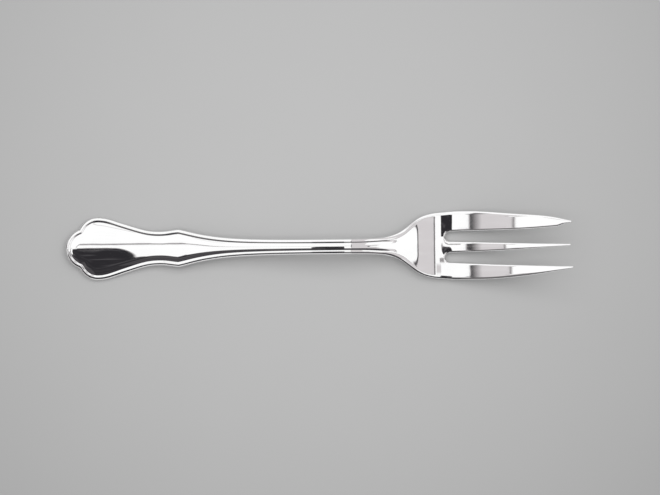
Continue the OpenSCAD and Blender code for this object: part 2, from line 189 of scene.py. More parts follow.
CUTTING_TIP_AT = TIPS_AT - CUTTING_SHORT
MIDDLE_TIP_AT = TIPS_AT - MIDDLE_SHORT
SLOT_RADIUS = SLOT_WIDTH / 2
SLOT_CENTRE_AT = SLOT_AT + SLOT_RADIUS
UPPER_SLOT_Y = MIDDLE_WIDTH / 2 - MIDDLE_SHIFT + SLOT_RADIUS
LOWER_SLOT_Y = -MIDDLE_WIDTH / 2 - MIDDLE_SHIFT - SLOT_RADIUS
HALF_TIP = TIP_WIDTH / 2
BEVEL_WAY = TIP_SPREAD - HALF_TIP - BEVEL_HALF

# Numbers of mesh steps round a section and along the fork's lobed end
UNDER_STEPS = 6
ROLL_STEPS = 14
BEAD_STEPS = 12
RAMP_STEPS = 14
FACE_STEPS = 10
LOBE_STEPS = 40
NOTCH_STEPS = 12
SHOULDER_STEPS = 24
SLOT_STEPS = 20
TINE_MIDDLE_STEPS = 10

# Distances between mesh sections in millimetres, fine where the shape turns fast
FINE_STEP = 0.1
MEDIUM_STEP = 0.2
LONG_STEP = 0.4
# Distance in millimetres over which a surface's slope is measured
SLOPE_STEP = 1e-3
# Length below which a vector counts as having none
NO_LENGTH = 1e-12


def row(at, value, angle=0.0, radius=math.inf):
    """One station of a smooth curve: its place, value, slope from an angle in degrees, and bend."""
    return at, value, math.tan(math.radians(angle)), 1 / radius


def smooth(x, rows):
    """Value at x of the one curve through all rows that keeps their slopes and bends."""
    at, value, slope, bend = (np.array(column, float) for column in zip(*rows))
    x = np.clip(x, at[0], at[-1])
    a = np.clip(np.searchsorted(at, x, side="left") - 1, 0, len(at) - 2)
    b = a + 1
    span = at[b] - at[a]
    t = (x - at[a]) / span
    to_b = 10 * t**3 - 15 * t**4 + 6 * t**5
    return (
        value[a] * (1 - to_b)
        + value[b] * to_b
        + span * slope[a] * (t - 6 * t**3 + 8 * t**4 - 3 * t**5)
        + span * slope[b] * (7 * t**4 - 4 * t**3 - 3 * t**5)
        + span**2 * bend[a] * (t**2 - 3 * t**3 + 3 * t**4 - t**5) / 2
        + span**2 * bend[b] * (t**3 - 2 * t**4 + t**5) / 2
    )


# Half the width of the fork, from the shoulders to the head
OUTLINE = [
    row(SHOULDER_AT, SHOULDER_WIDTH / 2, 0, -SHOULDER_LEE_RADIUS),
    row(FLANK_AT, FLANK_WIDTH / 2, FLANK_ANGLE),
    row(WAIST_AT, WAIST_WIDTH / 2, 0, WAIST_RADIUS),
    row(KNUCKLE_AT - KNUCKLE_ROUND / 2, KNUCKLE_WIDTH / 2, KNUCKLE_IN_ANGLE, -KNUCKLE_RADIUS),
    row(KNUCKLE_AT + KNUCKLE_ROUND / 2, KNUCKLE_WIDTH / 2, KNUCKLE_OUT_ANGLE, -KNUCKLE_RADIUS),
    row(TAPER_AT, TAPER_WIDTH / 2, TAPER_ANGLE, TAPER_RADIUS),
    row(SLIM_AT, SLIM_WIDTH / 2),
    row(NECK_START_AT, NECK_START_WIDTH / 2, NECK_START_ANGLE, NECK_START_RADIUS),
    row(NECK_CURVE_AT, NECK_CURVE_WIDTH / 2, NECK_CURVE_ANGLE, NECK_CURVE_RADIUS),
    row(FLARE_AT, FLARE_WIDTH / 2, FLARE_ANGLE),
    row(CORNER_AT, CORNER_WIDTH / 2, CORNER_ANGLE, -CORNER_RADIUS),
    row(CORNER_END_AT, CORNER_END_WIDTH / 2, HEAD_ANGLE),
    row(HEAD_AT, HEAD_WIDTH / 2),
]

# Height of the underside along the middle line
SPINE = [
    row(0, HANDLE_REST_AT**2 / CURL_RADIUS / 2 - REST_FLAT,
        -math.degrees(math.atan(HANDLE_REST_AT / CURL_RADIUS)), CURL_RADIUS),
    row(HANDLE_REST_AT, -REST_FLAT, 0, CURL_RADIUS),
    row(CREST_AT, CREST_HEIGHT, 0, -CREST_RADIUS),
    row(SLOPE_AT, SLOPE_HEIGHT, SLOPE_ANGLE),
    row(HEAD_REST_AT, -REST_FLAT, 0, HEAD_BEND_RADIUS),
    row(RISE_AT, RISE_HEIGHT, RISE_ANGLE, RISE_RADIUS),
    row(TIPS_AT, TIP_HEIGHT, TIP_ANGLE),
]
THIN_ANGLE = -math.degrees(math.atan((NECK_THICKNESS - TIP_THICKNESS) / (TIPS_AT - THIN_FROM)))
THICKNESS = [
    row(THICK_FROM, HANDLE_THICKNESS),
    row(CREST_AT, SHANK_THICKNESS),
    row(THIN_FROM, NECK_THICKNESS, THIN_ANGLE),
    row(TIPS_AT, TIP_THICKNESS, THIN_ANGLE),
]

# Bend across the face, and the sizes of the border
CROWN = [
    row(CROWN_AT, 1 / HANDLE_CROWN),
    row(RIB_AT, 1 / SHANK_CROWN),
    row(NECK_FROM, 1 / SHANK_CROWN),
    row(LEVEL_AT, 0),
]
DISH = [row(DISH_FROM, 0), row(DISH_AT, 1 / HEAD_DISH)]
MIDDLE_TINE_CROWN = [row(TINES_FROM, 0), row(SLOT_CENTRE_AT, 1 / MIDDLE_CROWN)]
NO_CROWN = [row(0, 0), row(TIPS_AT, 0)]
FADE = [row(FADE_AT, 1), row(FADE_END_AT, 0)]
BEAD_WIDTHS = [
    row(FADE_AT, BEAD_IN),
    row(FADE_END_AT, FLARE_EDGE_WIDTH),
    row(TINES_FROM, EDGE_WIDTH),
]
BEAD_SIDES = [row(FADE_AT, BEAD_SIDE), row(FADE_END_AT, EDGE_DROP)]
BEAD_RISES = [row(CROWN_AT, BEAD_RISE), row(RIB_AT, SHANK_BEAD_RISE)]
GROOVE_DEPTHS = [row(CROWN_AT, GROOVE_DEPTH), row(RIB_AT, SHANK_GROOVE_DEPTH)]
GROOVES = [
    row(CROWN_AT, GROOVE_IN),
    row(RIB_AT, SHANK_GROOVE_IN),
    row(FADE_AT, SHANK_GROOVE_IN),
    row(FADE_END_AT, FLARE_EDGE_WIDTH + SHANK_GROOVE_IN - BEAD_IN),
]


def quarter_turn(steps):
    """Angles over a quarter turn, both ends included."""
    return np.linspace(0, np.pi / 2, steps + 1)


def shares_after_start(steps):
    """Even shares up to 1, without the 0."""
    return np.linspace(0, 1, steps + 1)[1:]


def dish_lift(x, y):
    """How far the dish of the head lifts a point that lies off the middle line."""
    return smooth(x, DISH) * y * y / 2


def under_z(x, y):
    """Height of the underside, cut flat where the fork rests."""
    return np.maximum(0, smooth(x, SPINE) + dish_lift(x, y))


def face_z(x, y, y_limit):
    """Height of the face. The crown stops at y_limit, beyond which the border rides level."""
    crown_y = np.minimum(np.abs(y), y_limit)
    return (smooth(x, SPINE) + smooth(x, THICKNESS) + dish_lift(x, y)
            - smooth(x, CROWN) * crown_y**2 / 2)


def border_sizes(x):
    """Width and side of the bead, place and depth of the groove, and the bead's rise above it."""
    fade = smooth(x, FADE)
    bead = smooth(x, BEAD_WIDTHS)
    side = smooth(x, BEAD_SIDES)
    groove = max(bead, smooth(x, GROOVES))
    depth = smooth(x, GROOVE_DEPTHS) * fade
    rise = smooth(x, BEAD_RISES) * fade
    return bead, side, groove, depth, rise


def rib(p, inward, stretch, middle):
    """Points from the middle of the underside round the edge at p to the middle of the face."""
    bead, side, groove, depth, rise = border_sizes(p[0])
    centre = np.array([middle, 0.0])
    room = np.linalg.norm(centre - p) / stretch - groove
    ramp = min(GROOVE_RAMP, RAMP_LIMIT_SHARE * room)

    def at(d):
        return p + np.outer(np.atleast_1d(d), inward) * stretch

    limit = at(groove)[0, 1]

    def on_face(points, lift):
        return np.column_stack([points, face_z(points[:, 0], points[:, 1], limit) + lift])

    def below(points, lift):
        return np.column_stack([points, under_z(points[:, 0], points[:, 1]) + lift])

    turn = quarter_turn(UNDER_STEPS)
    roll = quarter_turn(ROLL_STEPS)
    dip = shares_after_start(BEAD_STEPS)
    climb = shares_after_start(RAMP_STEPS)
    cross = shares_after_start(FACE_STEPS)[:, None]
    inner = at(groove + ramp)
    return np.concatenate([
        below(centre[None], 0),
        below(at(UNDER_RADIUS * (1 - np.sin(turn))), UNDER_RADIUS * (1 - np.cos(turn))),
        on_face(at(bead * (1 - np.cos(roll))), rise - depth - side * (1 - np.sin(roll))),
        on_face(at(bead + (groove - bead) * dip), rise * (1 + np.cos(np.pi * dip)) / 2 - depth),
        on_face(at(groove + ramp * climb), -depth * (1 - climb)**2),
        on_face(inner * (1 - cross) + centre * cross, 0),
    ])


def both_sides(half_ring):
    """Both halves of a section, as one closed ring."""
    return np.concatenate([half_ring, half_ring[-2:0:-1] * [1, -1, 1]])


def cross_ring(x):
    """A section square to the fork's length, stretched to keep the border's width on a slope."""
    half = smooth(x, OUTLINE)
    slant = (smooth(x + NOTCH_RADIUS, OUTLINE) - half) / NOTCH_RADIUS
    return both_sides(rib(np.array([x, half]), np.array([0, -1]), math.hypot(1, slant), x))


def circles_meet(a, a_radius, b, b_radius):
    """Meeting point of two circles, on the left of the line from a to b."""
    reach = np.linalg.norm(b - a)
    along = (reach**2 + a_radius**2 - b_radius**2) / reach / 2
    way = (b - a) / reach
    return a + way * along + np.array([-way[1], way[0]]) * math.sqrt(a_radius**2 - along**2)


def heading(start, end):
    """Angle of the line from start to end."""
    return math.atan2(end[1] - start[1], end[0] - start[0])


def arc(centre, radius, start, end, steps, sense):
    """Points of an arc without its first, each with the unit direction into the fork.

    Sense is -1 where the arc's centre lies inside the fork, and 1 where it lies outside.
    """
    found = []
    for a in np.linspace(start, end, steps + 1)[1:]:
        spoke = np.array([math.cos(a), math.sin(a)])
        found.append((centre + radius * spoke, sense * spoke))
    return found


def lobed_rings():
    """Sections that fan round the handle's lobed end: round lobe, notch and shoulder lobe."""
    lobe = np.array([LOBE_RADIUS, 0.0])
    shoulder = np.array([SHOULDER_AT, SHOULDER_WIDTH / 2 - SHOULDER_RADIUS])
    notch = circles_meet(lobe, LOBE_RADIUS + NOTCH_RADIUS, shoulder, SHOULDER_RADIUS + NOTCH_RADIUS)
    outline = [(np.array([0.0, 0.0]), np.array([1.0, 0.0]))]
    outline += arc(lobe, LOBE_RADIUS, math.pi, heading(lobe, notch), LOBE_STEPS, -1)
    outline += arc(notch, NOTCH_RADIUS, heading(notch, lobe), heading(notch, shoulder),
                   NOTCH_STEPS, 1)
    outline += arc(shoulder, SHOULDER_RADIUS, heading(shoulder, notch), math.pi / 2,
                   SHOULDER_STEPS, -1)
    hub_at = HUB_SHARE * LOBE_RADIUS
    middles = np.linspace(hub_at, SHOULDER_AT, len(outline))
    return [both_sides(rib(p, inward, 1, m)) for (p, inward), m in zip(outline, middles)]


def places(*marks):
    """Distances along the fork, from (mark, step up to the next mark) pairs and a last mark."""
    found = [marks[0][0]]
    for (start, step), following in zip(marks[:-1], marks[1:]):
        end = following[0]
        found += list(np.linspace(start, end, max(1, round((end - start) / step)) + 1)[1:])
    return found


def travel(points, axis):
    """Direction of the smooth line through each point and its two neighbours."""
    before = points - np.roll(points, 1, axis)
    after = np.roll(points, -1, axis) - points
    near = np.linalg.norm(before, axis=-1, keepdims=True)
    far = np.linalg.norm(after, axis=-1, keepdims=True)
    return before * far**2 + after * near**2


def unit(vectors):
    """The vectors, each brought to length 1."""
    return vectors / np.maximum(np.linalg.norm(vectors, axis=-1, keepdims=True), NO_LENGTH)


def body_sections():
    """Rings from the handle end to the tines, and the surface's true direction at each point.

    Directions come from neighbouring rings, so one ring more is laid at each end and dropped. The
    first ring is folded flat along the middle line, and its two ends take their neighbour's
    direction.
    """
    cross = places((SHOULDER_AT, MEDIUM_STEP), (KNUCKLE_AT - KNUCKLE_ROUND, FINE_STEP),
                   (KNUCKLE_AT + KNUCKLE_ROUND, MEDIUM_STEP), (SHANK_FROM, LONG_STEP),
                   (NECK_FROM, MEDIUM_STEP), (ROOT_FROM, MEDIUM_STEP), (TINES_FROM,))[1:]
    rings = lobed_rings() + [cross_ring(x) for x in cross + [TINES_FROM + FINE_STEP]]
    mirrored = np.roll(rings[1][::-1], 1, axis=0)
    grid = np.array([mirrored] + rings)
    normals = unit(np.cross(travel(grid, 1), travel(grid, 0)))[1:-1]
    top = normals.shape[1] // 2
    normals[0, 0] = normals[0, 1]
    normals[0, top] = normals[0, top - 1]
    return grid[1:-1], normals * np.sign(normals[-1, top, 2])


# A tine's edge: the rows of its curve, the middle of the slot beside it if there is one, the side
# on which the metal lies, 1 or -1, and the width of its rounding
Edge = namedtuple("Edge", "rows slot_y side width")


def edge_y(x, edge):
    """Place of a tine's edge: the slot's middle line, its round end, then its wall."""
    back = SLOT_CENTRE_AT - x
    if edge.slot_y is None or back <= 0:
        return smooth(x, edge.rows)
    return edge.slot_y + edge.side * math.sqrt(max(0, SLOT_RADIUS**2 - back**2))


def edge_gap(x, y, edge):
    """Distance inwards from the free edge, measured round the end of a slot."""
    wall = edge.side * (y - smooth(x, edge.rows))
    if edge.slot_y is None:
        return wall
    return np.where(x >= SLOT_CENTRE_AT, wall,
                    np.hypot(x - SLOT_CENTRE_AT, y - edge.slot_y) - SLOT_RADIUS)


def soft_share(x, y, edges, widths):
    """How far in from the nearer edge a point lies, as a share of that edge's rounding."""
    return np.minimum.reduce([edge_gap(x, y, e) / w for e, w in zip(edges, widths)])


def tine_face(x, ys, edges, widths, height, surface, up):
    """One side of a tine at x: points and directions of a surface that rounds off at the edges."""
    def slope(field):
        along = field(x + SLOPE_STEP, ys) - field(x - SLOPE_STEP, ys)
        across = field(x, ys + SLOPE_STEP) - field(x, ys - SLOPE_STEP)
        return np.column_stack([along, across]) / (2 * SLOPE_STEP)

    def share(px, py):
        return soft_share(px, py, edges, widths)

    out = 1 - np.clip(share(x, ys), 0, 1)
    level = np.sqrt(1 - out**2)
    points = np.column_stack([np.full_like(ys, x), ys, surface(x, ys) - up * height * (1 - level)])
    flat = -up * slope(surface) * level[:, None] - height * out[:, None] * slope(share)
    return points, unit(np.column_stack([flat, up * level]))


def tine_section(x, left, right, crown):
    """Closed ring of a tine at x, from its right edge under the tine and back over it."""
    left_y = edge_y(x, left)
    right_y = edge_y(x, right)
    middle_y = (left_y + right_y) / 2
    room = (left_y - right_y) * EDGE_LIMIT_SHARE
    shares = 1 - np.cos(quarter_turn(ROLL_STEPS))

    def across(left_width, right_width):
        inner = np.linspace(right_y + right_width, left_y - left_width,
                            TINE_MIDDLE_STEPS + 1)[1:-1]
        return np.concatenate([right_y + right_width * shares, inner,
                               left_y - left_width * shares[::-1]])

    def crowned_face(px, py):
        return face_z(px, py, 0) - smooth(px, crown) * (py - middle_y)**2 / 2

    under = min(UNDER_RADIUS, room)
    widths = [min(left.width, room), min(right.width, room)]
    below = tine_face(x, across(under, under), (left, right), (under, under), under, under_z, -1)
    above = tine_face(x, across(*widths), (left, right), widths, min(EDGE_DROP, room),
                      crowned_face, 1)
    return [np.concatenate([low, high[::-1]]) for low, high in zip(below, above)]


def tine_sections(left, right, tip_at, crown):
    """Rings of one tine and the surface's true direction at each point."""
    slot_rim = SLOT_AT - SLOT_EDGE_WIDTH * (1 - np.sin(quarter_turn(ROLL_STEPS)[1:]))
    slot_end = SLOT_CENTRE_AT - SLOT_RADIUS * np.cos(quarter_turn(SLOT_STEPS)[1:])
    stations = (places((TINES_FROM, MEDIUM_STEP), (SLOT_AT - SLOT_EDGE_WIDTH,))
                + list(slot_rim) + list(slot_end)
                + places((SLOT_CENTRE_AT, MEDIUM_STEP), (RISE_AT, LONG_STEP),
                         (tip_at - BEVEL_LENGTH, MEDIUM_STEP), (tip_at,))[1:])
    points, normals = zip(*(tine_section(x, left, right, crown) for x in stations))
    return np.array(points), np.array(normals)


def cutting_edges():
    """Left and right edge of the cutting tine, whose right edge ends in the bevel."""
    outside = OUTLINE + [
        row(TINE_MID_AT, CUTTING_MID_HALF, CUTTING_MID_ANGLE),
        row(CUTTING_TIP_AT, TIP_SPREAD + HALF_TIP, CUTTING_TIP_ANGLE),
    ]
    wall = [
        row(SLOT_CENTRE_AT, UPPER_SLOT_Y + SLOT_RADIUS, CUTTING_WALL_ANGLE),
        row(CUTTING_TIP_AT - BEVEL_LENGTH, BEVEL_HALF, BEVEL_START_ANGLE),
        row(CUTTING_TIP_AT - BEVEL_LENGTH * (1 - BEVEL_LENGTH_SHARE),
            BEVEL_HALF + BEVEL_WAY * BEVEL_WAY_SHARE, BEVEL_ANGLE),
        row(CUTTING_TIP_AT, BEVEL_HALF + BEVEL_WAY, BEVEL_TIP_ANGLE),
    ]
    return (Edge(outside, None, -1, EDGE_WIDTH),
            Edge(wall, UPPER_SLOT_Y, 1, SLOT_EDGE_WIDTH))


def middle_edges():
    """Left and right edge of the narrow middle tine."""
    upper = [
        row(SLOT_CENTRE_AT, UPPER_SLOT_Y - SLOT_RADIUS, -MIDDLE_UPPER_ANGLE),
        row(MIDDLE_TIP_AT, HALF_TIP - MIDDLE_TIP_SHIFT, -MIDDLE_UPPER_TIP_ANGLE),
    ]
    lower = [
        row(SLOT_CENTRE_AT, LOWER_SLOT_Y + SLOT_RADIUS, MIDDLE_LOWER_ANGLE),
        row(MIDDLE_TIP_AT, -HALF_TIP - MIDDLE_TIP_SHIFT, MIDDLE_LOWER_TIP_ANGLE),
    ]
    return (Edge(upper, UPPER_SLOT_Y, -1, SLOT_EDGE_WIDTH),
            Edge(lower, LOWER_SLOT_Y, 1, SLOT_EDGE_WIDTH))


def outer_edges():
    """Left and right edge of the outer tine, whose right edge mirrors the fork's outline."""
    wall = [
        row(SLOT_CENTRE_AT, LOWER_SLOT_Y - SLOT_RADIUS, OUTER_WALL_ANGLE),
        row(TIPS_AT, HALF_TIP - TIP_SPREAD, OUTER_WALL_TIP_ANGLE),
    ]
    outside = [(at, -value, -slope, -bend) for at, value, slope, bend in OUTLINE] + [
        row(TINE_MID_AT, -OUTER_MID_HALF, -OUTER_MID_ANGLE),
        row(TIPS_AT, -TIP_SPREAD - HALF_TIP, -OUTER_TIP_ANGLE),
    ]
    return (Edge(wall, LOWER_SLOT_Y, -1, SLOT_EDGE_WIDTH),
            Edge(outside, None, 1, EDGE_WIDTH))


def loft_faces(index, caps, folded):
    """Side faces and end faces between rings of point numbers. A folded first ring has no end."""
    turned = np.roll(index, -1, axis=1)
    sides = np.stack([index[:-1], turned[:-1], turned[1:], index[1:]], axis=-1).reshape(-1, 4)
    ends = [] if folded else [index[0][list(cap)[::-1]] for cap in caps]
    ends += [index[-1][list(cap)] for cap in caps]
    return [list(f) for f in sides], [list(f) for f in ends]


def lofted_piece(name, points, normals, caps, folded=False):
    """A closed mesh through rings of points, shaded with the given directions, with flat ends."""
    rows, count = points.shape[:2]
    index = np.arange(rows * count).reshape(rows, count)
    if folded:
        index[0, count // 2 + 1:] = index[0, 1:count // 2][::-1]
    sides, ends = loft_faces(index, caps, folded)
    faces = sides + ends
    # Only the points that faces use are kept, and the faces are numbered anew
    used, corners = np.unique(np.concatenate(faces), return_inverse=True)
    lengths = [len(f) for f in faces]
    faces = [list(f) for f in np.split(corners, np.cumsum(lengths)[:-1])]
    place = (points.reshape(-1, 3)[used] - [TIPS_AT / 2, 0, 0]) * MM
    directions = normals.reshape(-1, 3)[used][corners]
    mesh = bpy.data.meshes.new(name)
    mesh.from_pydata([list(p) for p in place], [], faces)
    mesh.polygons.foreach_set("use_smooth", [True] * len(sides) + [False] * len(ends))
    mesh.normals_split_custom_set([list(d) for d in directions])
    piece = bpy.data.objects.new(name, mesh)
    bpy.context.scene.collection.objects.link(piece)
    return piece


def half_caps(count):
    """The two halves of an end face, on either side of the middle line."""
    half = count // 2
    return [range(0, half + 1), [*range(half, count), 0]]


def strip_caps(count):
    """An end face as strips between the underside and the face of a tine."""
    return [(i, i + 1, count - 2 - i, count - 1 - i) for i in range(count // 2 - 1)]


def body_pieces():
    """Handle, shank, neck and root: runs of the same rings, cut where the regions meet."""
    points, normals = body_sections()
    caps = half_caps(points.shape[1])
    planes = (0, SHANK_FROM, NECK_FROM, ROOT_FROM, TINES_FROM)
    cuts = [int(np.argmin(abs(points[:, 0, 0] - at))) for at in planes]
    for name, start, end in zip(("handle", "shank", "neck", "root"), cuts, cuts[1:]):
        part = slice(start, end + 1)
        yield name, lofted_piece(name + "_metal", points[part], normals[part], caps, start == 0)


def tine_pieces():
    """The three tines, each from its own edges, tip and crown."""
    tines = (
        ("cutting_tine", cutting_edges(), CUTTING_TIP_AT, NO_CROWN),
        ("middle_tine", middle_edges(), MIDDLE_TIP_AT, MIDDLE_TINE_CROWN),
        ("outer_tine", outer_edges(), TIPS_AT, NO_CROWN),
    )
    for name, (left, right), tip_at, crown in tines:
        points, normals = tine_sections(left, right, tip_at, crown)
        yield name, lofted_piece(name + "_metal", points, normals, strip_caps(points.shape[1]))


def make_fork(metal):
    """All regions of the fork, each in place of its CAD node."""
    for name, piece in [*body_pieces(), *tine_pieces()]:
        piece.data.materials.append(metal)
        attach(piece, "root")
        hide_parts(name)


def new_node(tree, kind, **inputs):
    """A node with inputs set by name, to a number, a colour or another node's output."""
    node = tree.nodes.new(kind)
    for name, value in inputs.items():
        socket = node.inputs[name.replace("_", " ")]
        if isinstance(value, bpy.types.NodeSocket):
            tree.links.new(value, socket)
        else:
            socket.default_value = value
    return node


def calculate(tree, operation, *values, clamp=False):
    """Output of a Math node on numbers or other nodes' outputs."""
    node = tree.nodes.new("ShaderNodeMath")
    node.operation = operation
    node.use_clamp = clamp
    for socket, value in zip(node.inputs, values):
        if isinstance(value, bpy.types.NodeSocket):
            tree.links.new(value, socket)
        else:
            socket.default_value = value
    return node.outputs[0]


def noise(tree, vector, scale, detail):
    """A noise texture with this many counts per unit and layers of detail."""
    return new_node(tree, "ShaderNodeTexNoise", Vector=vector, Scale=scale, Detail=detail)


# The metal's finish: heights in metres and counts per metre
WAVES_PER_METRE = 160
WAVE_DETAIL = 1
WAVE_HEIGHT = 6e-6
HAIRLINES_PER_METRE = 9000
HAIRLINE_DETAIL = 3
HAIRLINE_HEIGHT = 2e-8
# Share of the hairlines' count that is left along the fork, which draws them out lengthwise
LENGTHWISE_SHARE = 0.06
LOWEST_ROUGHNESS = 0.015
HIGHEST_ROUGHNESS = 0.05
METAL_DARK = 0.90
METAL_LIGHT = 0.94


def polished_metal():
    """Mirror-bright metal with the faint waves and hairlines that polishing leaves."""
    material = bpy.data.materials.new("polished_metal")
    material.use_nodes = True
    tree = material.node_tree
    tree.nodes.clear()
    place = tree.nodes.new("ShaderNodeTexCoord").outputs["Object"]
    along = new_node(tree, "ShaderNodeMapping", Vector=place, Scale=(LENGTHWISE_SHARE, 1, 1))
    waves = noise(tree, place, WAVES_PER_METRE, WAVE_DETAIL)
    hairlines = noise(tree, along.outputs["Vector"], HAIRLINES_PER_METRE, HAIRLINE_DETAIL)
    wavy = new_node(tree, "ShaderNodeBump", Height=waves.outputs["Fac"], Strength=1.0,
                    Distance=WAVE_HEIGHT)
    brushed = new_node(tree, "ShaderNodeBump", Height=hairlines.outputs["Fac"], Strength=1.0,
                       Distance=HAIRLINE_HEIGHT, Normal=wavy.outputs["Normal"])
    haze = new_node(tree, "ShaderNodeMapRange", Value=hairlines.outputs["Fac"],
                    To_Min=LOWEST_ROUGHNESS, To_Max=HIGHEST_ROUGHNESS)
    tint = new_node(tree, "ShaderNodeMapRange", Value=waves.outputs["Fac"],
                    To_Min=METAL_DARK, To_Max=METAL_LIGHT)
    colour = new_node(tree, "ShaderNodeCombineColor", Red=tint.outputs[0], Green=tint.outputs[0],
                      Blue=tint.outputs[0])
    shader = new_node(tree, "ShaderNodeBsdfPrincipled", Base_Color=colour.outputs[0], Metallic=1.0,
                      Roughness=haze.outputs[0], Normal=brushed.outputs["Normal"])
    output = tree.nodes.new("ShaderNodeOutputMaterial")
    tree.links.new(shader.outputs["BSDF"], output.inputs["Surface"])
    return material


# Levels of the surroundings that the metal mirrors, where 1 is white; WHITE makes up for what the
# metal takes away
WHITE = 1.08
LIGHT = 0.67
SEAM = 0.3
DARK = 0.028
SHADE = 0.06
FAINT = 0.14
WALL = 0.3
RIM = 0.07
# Degrees from straight up that a panel reaches where it has no end
WIDE = 170

# What the metal mirrors, as soft panels seen from the fork. Places are degrees from straight up,
# x towards the tine tips and y away from the viewer, both turned by an angle about the point
# straight up. Corner is the radius of a panel's corners, blur the width of its soft edge and rim
# the width of the dark line round it, also in degrees. Later panels cover earlier ones.
Panel = namedtuple("Panel", "x_from x_to y_from y_to corner blur level rim turn", defaults=(0, 0))
PANELS = [
    # Two slanting grey strips, seen at both edges of the flare
    Panel(21.8, 23.6, -WIDE, WIDE, 0, 1.5, LIGHT, 0, 40),
    Panel(21.8, 23.6, -WIDE, WIDE, 0, 1.5, LIGHT, 0, -40),
    # Grey towards the tips with a dark line before it: the band on the shank, the arc on the flare
    Panel(18, 64, -WIDE, 13, 0, 0.3, LIGHT),
    Panel(18, 27.5, 12, WIDE, 0, 0.3, LIGHT),
    Panel(17.7, 18.3, -7, 30, 0, 0.3, RIM),
    # White beyond that grey, the first panel in a dark frame: the highlight in the flare's middle
    Panel(29.3, 60, -4.2, 3.7, 2.2, 0.3, WHITE, 0.9),
    Panel(29.3, 60, 9, 60, 0, 1.0, WHITE),
    Panel(32.2, 60, -20, 12, 0, 1.0, WHITE),
    # Walls beyond both ends of the fork, darker farther down, and their white windows
    Panel(40, WIDE, -WIDE, WIDE, 0, 6, WALL),
    Panel(-WIDE, -38, -WIDE, WIDE, 0, 6, WALL),
    Panel(66, WIDE, -WIDE, WIDE, 0, 10, SHADE),
    Panel(-WIDE, -66, -WIDE, WIDE, 0, 10, SHADE),
    Panel(46, 60, 20, 46, 2, 1.5, WHITE),
    Panel(46, 60, -44, 6, 2, 1.5, WHITE),
    Panel(-58, -45, 18, 44, 2, 1.5, WHITE),
    Panel(-58, -45, -44, 4, 2, 1.5, WHITE),
    # A small grey patch, seen where the outer tine begins
    Panel(12.4, 17, 3.8, 5.6, 0, 0.6, LIGHT),
    # The grey of the rising tines, white beyond it, dark lines between the two, a dark soft edge
    Panel(-30.05, -20, -22, 22, 0, 0.3, LIGHT),
    Panel(-32, -28.65, -3.3, 3.3, 0, 0.3, WHITE),
    Panel(-32, -29.6, 3.3, 22, 0, 0.3, WHITE),
    Panel(-30.2, -29.9, -22, -3.3, 0, 0.3, RIM),
    Panel(-28.8, -28.5, -3.3, 3.3, 0, 0.3, RIM),
    Panel(-29.75, -29.45, 3.3, 22, 0, 0.3, RIM),
    Panel(-23.25, -19, -22, 22, 0, 2.0, RIM),
    # White between that edge and the middle of the ceiling
    Panel(-21.9, -12, -WIDE, -3.3, 0, 0.3, WHITE),
    Panel(-21.35, -12, -3.3, 3.3, 0, 0.3, WHITE),
    Panel(-21.9, -12, 3.3, WIDE, 0, 0.3, WHITE),
    # A grey seam overhead: the line along the handle
    Panel(-20, 14, 2.5, 3.4, 0, 0.3, SEAM),
    # Shadows on the viewer's side, seen along the fork's near flank and in its rounded edges
    Panel(-34, -16, -71, -13, 3, 1.5, FAINT),
    Panel(-20, 12, -71, -13, 1, 1.5, SHADE),
    Panel(10, 40, -71, -24, 3, 1.5, SHADE),
    # The dark place overhead: the patch on the handle and the blocks where the tines begin
    Panel(-12, 12, -22, 0.5, 5.5, 0.5, DARK),
    Panel(-4, 12, -60, 0.5, 1, 0.5, DARK),
]
# Faint streaks in the room: their counts per degree along and across, and how far they brighten it
# where their noise is above the threshold
STREAKS_ALONG = 0.04
STREAKS_ACROSS = 0.5
STREAK_DETAIL = 2
STREAK_LEVEL = 0.4
STREAK_THRESHOLD = 0.52
# Tints of the darkest and of the grey surroundings. The grey tint begins at a share of the level
# at which there is none any more.
DARK_TINT = (0.99, 0.93, 1.1, 1.0)
GREY_TINT = (1.03, 0.985, 1.0, 1.0)
UNTINTED = (1.0, 1.0, 1.0, 1.0)
GREY_TINT_SHARE = 0.12
UNTINTED_LEVEL = 0.9


def turn_axes(tree, x, y, angle):
    """The place x, y in axes that are turned by an angle."""
    cosine = math.cos(angle)
    sine = math.sin(angle)
    along = calculate(tree, "MULTIPLY_ADD", x, cosine, calculate(tree, "MULTIPLY", y, sine))
    across = calculate(tree, "MULTIPLY_ADD", x, -sine, calculate(tree, "MULTIPLY", y, cosine))
    return along, across


def panel_distance(tree, x, y, panel):
    """Degrees from a point to a panel's outline with its round corners, negative inside."""
    def beyond(value, low, high):
        away = calculate(tree, "ABSOLUTE", calculate(tree, "SUBTRACT", value, (low + high) / 2))
        return calculate(tree, "SUBTRACT", away, (high - low) / 2 - panel.corner)

    if panel.turn:
        x, y = turn_axes(tree, x, y, math.radians(panel.turn))
    qx = beyond(x, panel.x_from, panel.x_to)
    qy = beyond(y, panel.y_from, panel.y_to)
    inside = calculate(tree, "MINIMUM", calculate(tree, "MAXIMUM", qx, qy), 0)
    squares = [calculate(tree, "POWER", calculate(tree, "MAXIMUM", q, 0), 2) for q in (qx, qy)]
    outside = calculate(tree, "SQRT", calculate(tree, "ADD", *squares))
    return calculate(tree, "SUBTRACT", calculate(tree, "ADD", inside, outside), panel.corner)


def paint(tree, base, distance, grow, blur, level):
    """The base level, replaced by a panel's level inside its outline."""
    depth = calculate(tree, "SUBTRACT", grow, distance)
    mask = calculate(tree, "MULTIPLY_ADD", depth, 1 / blur, 0.5, clamp=True)
    step = calculate(tree, "SUBTRACT", level, base)
    return calculate(tree, "MULTIPLY_ADD", step, mask, base)


